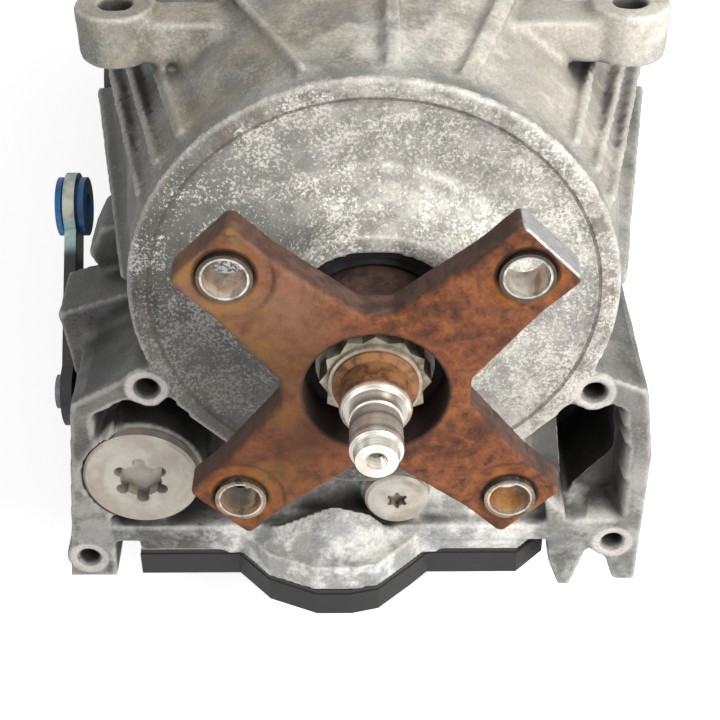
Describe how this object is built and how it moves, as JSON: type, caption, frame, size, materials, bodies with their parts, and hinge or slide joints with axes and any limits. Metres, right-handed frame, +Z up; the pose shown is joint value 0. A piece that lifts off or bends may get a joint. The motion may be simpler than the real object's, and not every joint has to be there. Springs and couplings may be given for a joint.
{
  "type": "automatic transmission",
  "caption": "Automatic transmission with a cast case, torque converter, planetary gear sets, oil pan and a four-armed output flange.",
  "frame": {"origin": "centre of the engine side face of the converter housing, on the shaft line", "axes": "+Y along the shaft line towards the engine, +Z up, +X to the right as seen from the output flange"},
  "size_m": [0.356, 0.6302, 0.3559],
  "materials": {
    "cast_aluminium": "weathered sand-cast aluminium, matt",
    "housing_aluminium": "weathered cast aluminium, matt",
    "rusted_steel": "forged steel with an even coat of rust",
    "bright_steel": "turned steel",
    "gear_steel": "ground and hardened steel",
    "zinc_plug": "dull zinc plating",
    "sheet_steel": "pressed sheet steel",
    "bolt_steel": "dull zinc plating",
    "friction_lining": "paper friction lining",
    "pan_plastic": "moulded dark plastic",
    "black_rubber": "oil-resistant rubber",
    "machined_aluminium": "machined aluminium",
    "black_paint": "black coated steel",
    "blue_bush": "soft blue plastic",
    "connector_plastic": "glass-filled plastic"
  },
  "bodies": {
    "case": {"converter_housing": "housing_aluminium", "housing_bolts": "bolt_steel", "main_case": "cast_aluminium", "oil_pan": "pan_plastic", "pan_gasket": "black_rubber", "pan_bolts": "bolt_steel", "drain_plug": "zinc_plug", "valve_body": "machined_aluminium", "solenoids": "sheet_steel", "oil_filter": "connector_plastic", "electrical_connector": "connector_plastic", "fill_plug": "zinc_plug", "level_plug": "zinc_plug", "pump_housing": "machined_aluminium", "pump_cover": "gear_steel", "brake_c_steels": "gear_steel", "brake_d_plates": "gear_steel", "rear_carrier": "gear_steel", "clutch_e_frictions": "friction_lining", "bearing_outer_race": "gear_steel", "output_seal": "black_rubber", "park_pawl_pin": "gear_steel", "detent_spring": "sheet_steel"},
    "converter": {"converter_cover": "sheet_steel", "pump_drive_gear": "gear_steel"},
    "pump_ring": {"pump_ring_gear": "gear_steel"},
    "stator": {"converter_stator": "machined_aluminium"},
    "input": {"input_shaft": "gear_steel", "turbine": "sheet_steel", "front_ring_gear": "gear_steel", "clutch_e_steels": "gear_steel"},
    "front_carrier": {"front_carrier": "gear_steel", "clutch_a_plates": "gear_steel", "small_sun_gear": "gear_steel", "clutch_b_steels": "gear_steel"},
    "large_sun": {"large_sun_gear": "gear_steel", "clutch_b_frictions": "friction_lining", "brake_c_frictions": "friction_lining"},
    "output": {"output_shaft": "bright_steel", "rear_ring_gear": "gear_steel", "park_gear": "gear_steel", "bearing_inner_race": "gear_steel", "output_flange": "rusted_steel", "flange_sleeves": "bright_steel", "flange_nut": "zinc_plug"},
    "bearing_balls": {"bearing_balls": "gear_steel"},
    "selector": {"selector_shaft": "sheet_steel", "shift_lever": "black_paint", "lever_bush": "blue_bush"},
    "park_rod": {"park_rod": "gear_steel"},
    "park_pawl": {"park_pawl": "gear_steel"},
    "front_planet_1": {"front_planet_1": "gear_steel"},
    "front_planet_2": {"front_planet_2": "gear_steel"},
    "front_planet_3": {"front_planet_3": "gear_steel"},
    "long_planet_1": {"long_planet_1": "gear_steel"},
    "long_planet_2": {"long_planet_2": "gear_steel"},
    "long_planet_3": {"long_planet_3": "gear_steel"},
    "short_planet_1": {"short_planet_1": "gear_steel"},
    "short_planet_2": {"short_planet_2": "gear_steel"},
    "short_planet_3": {"short_planet_3": "gear_steel"}
  },
  "joints": [
    {"name": "input_turn", "type": "hinge", "parent": "case", "child": "input", "pos_m": [0, -0.2, 0], "axis": [0, 1, 0], "continuous": true},
    {"name": "converter_turn", "type": "hinge", "parent": "case", "child": "converter", "pos_m": [0, -0.1, 0], "axis": [0, 1, 0], "continuous": true},
    {"name": "pump_ring_turn", "type": "hinge", "parent": "case", "child": "pump_ring", "pos_m": [0, -0.18, 0.009], "axis": [0, 1, 0], "continuous": true},
    {"name": "stator_turn", "type": "hinge", "parent": "case", "child": "stator", "pos_m": [0, -0.092, 0], "axis": [0, 1, 0], "continuous": true},
    {"name": "front_carrier_turn", "type": "hinge", "parent": "case", "child": "front_carrier", "pos_m": [0, -0.2, 0], "axis": [0, 1, 0], "continuous": true},
    {"name": "large_sun_turn", "type": "hinge", "parent": "case", "child": "large_sun", "pos_m": [0, -0.35, 0], "axis": [0, 1, 0], "continuous": true},
    {"name": "output_turn", "type": "hinge", "parent": "case", "child": "output", "pos_m": [0, -0.511, 0], "axis": [0, 1, 0], "continuous": true},
    {"name": "bearing_balls_turn", "type": "hinge", "parent": "case", "child": "bearing_balls", "pos_m": [0, -0.511, 0], "axis": [0, 1, 0], "continuous": true},
    {"name": "front_planet_1_turn", "type": "hinge", "parent": "front_carrier", "child": "front_planet_1", "pos_m": [0, -0.214, 0.04725], "axis": [0, 1, 0], "continuous": true},
    {"name": "long_planet_1_turn", "type": "hinge", "parent": "case", "child": "long_planet_1", "pos_m": [0, -0.392, 0.04725], "axis": [0, 1, 0], "continuous": true},
    {"name": "short_planet_1_turn", "type": "hinge", "parent": "case", "child": "short_planet_1", "pos_m": [-0.02604, -0.407, 0.02953], "axis": [0, 1, 0], "continuous": true},
    {"name": "front_planet_2_turn", "type": "hinge", "parent": "front_carrier", "child": "front_planet_2", "pos_m": [-0.04092, -0.214, -0.02363], "axis": [0, 1, 0], "continuous": true},
    {"name": "long_planet_2_turn", "type": "hinge", "parent": "case", "child": "long_planet_2", "pos_m": [-0.04092, -0.392, -0.02363], "axis": [0, 1, 0], "continuous": true},
    {"name": "short_planet_2_turn", "type": "hinge", "parent": "case", "child": "short_planet_2", "pos_m": [-0.01255, -0.407, -0.03732], "axis": [0, 1, 0], "continuous": true},
    {"name": "front_planet_3_turn", "type": "hinge", "parent": "front_carrier", "child": "front_planet_3", "pos_m": [0.04092, -0.214, -0.02363], "axis": [0, 1, 0], "continuous": true},
    {"name": "long_planet_3_turn", "type": "hinge", "parent": "case", "child": "long_planet_3", "pos_m": [0.04092, -0.392, -0.02363], "axis": [0, 1, 0], "continuous": true},
    {"name": "short_planet_3_turn", "type": "hinge", "parent": "case", "child": "short_planet_3", "pos_m": [0.0386, -0.407, 0.00779], "axis": [0, 1, 0], "continuous": true},
    {"name": "selector_swing", "type": "hinge", "parent": "case", "child": "selector", "pos_m": [-0.108, -0.512, -0.073], "axis": [1, 0, 0], "range_deg": [-24, 24]},
    {"name": "park_rod_slide", "type": "slide", "parent": "case", "child": "park_rod", "axis": [0, 1, 0], "range_m": [-0.00975, 0.00975]},
    {"name": "park_pawl_swing", "type": "hinge", "parent": "case", "child": "park_pawl", "pos_m": [-0.06396, -0.459, 0.00223], "axis": [0, -1, 0], "range_deg": [0, 3.6]}
  ],
  "couplings": [
    {"joint": "front_carrier_turn", "follows": "input_turn", "ratio": 0.66667},
    {"joint": "large_sun_turn", "follows": "input_turn", "ratio": -0.5},
    {"joint": "output_turn", "follows": "input_turn", "ratio": 0.25},
    {"joint": "bearing_balls_turn", "follows": "input_turn", "ratio": 0.1},
    {"joint": "pump_ring_turn", "follows": "converter_turn", "ratio": 0.76923},
    {"joint": "park_rod_slide", "follows": "selector_swing", "m_per_rad": -0.0232},
    {"joint": "front_planet_1_turn", "follows": "input_turn", "ratio": 1.3333},
    {"joint": "long_planet_1_turn", "follows": "input_turn", "ratio": 1},
    {"joint": "short_planet_1_turn", "follows": "input_turn", "ratio": -1},
    {"joint": "front_planet_2_turn", "follows": "input_turn", "ratio": 1.3333},
    {"joint": "long_planet_2_turn", "follows": "input_turn", "ratio": 1},
    {"joint": "short_planet_2_turn", "follows": "input_turn", "ratio": -1},
    {"joint": "front_planet_3_turn", "follows": "input_turn", "ratio": 1.3333},
    {"joint": "long_planet_3_turn", "follows": "input_turn", "ratio": 1},
    {"joint": "short_planet_3_turn", "follows": "input_turn", "ratio": -1}
  ]
}
